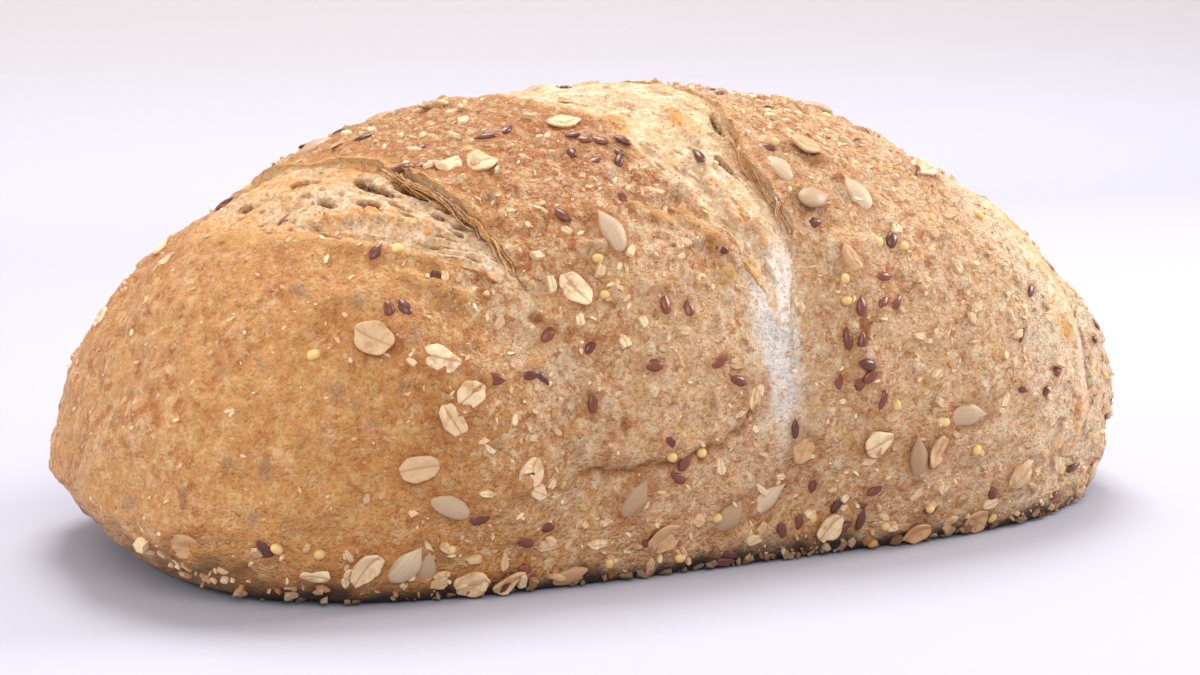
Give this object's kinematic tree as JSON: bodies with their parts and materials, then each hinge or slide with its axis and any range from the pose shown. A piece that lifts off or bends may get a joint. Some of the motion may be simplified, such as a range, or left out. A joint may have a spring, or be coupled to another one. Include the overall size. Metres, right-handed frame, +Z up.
{
  "type": "multigrain loaf",
  "caption": "Oval hand-shaped multigrain loaf with slanting score cuts, kernels and flakes on its crust and a flat base; one solid that rests on a table.",
  "frame": {"origin": "on the table under the middle of the loaf's bounding box", "axes": "+X along the loaf, towards the end that is the far, right one in the picture; +Y to the back, away from the picture's camera; +Z up from the flat base"},
  "size_m": [0.25, 0.1305, 0.0985],
  "materials": {
    "crust": "dull baked crust"
  },
  "bodies": {
    "root": {"loaf": "crust"}
  },
  "joints": []
}
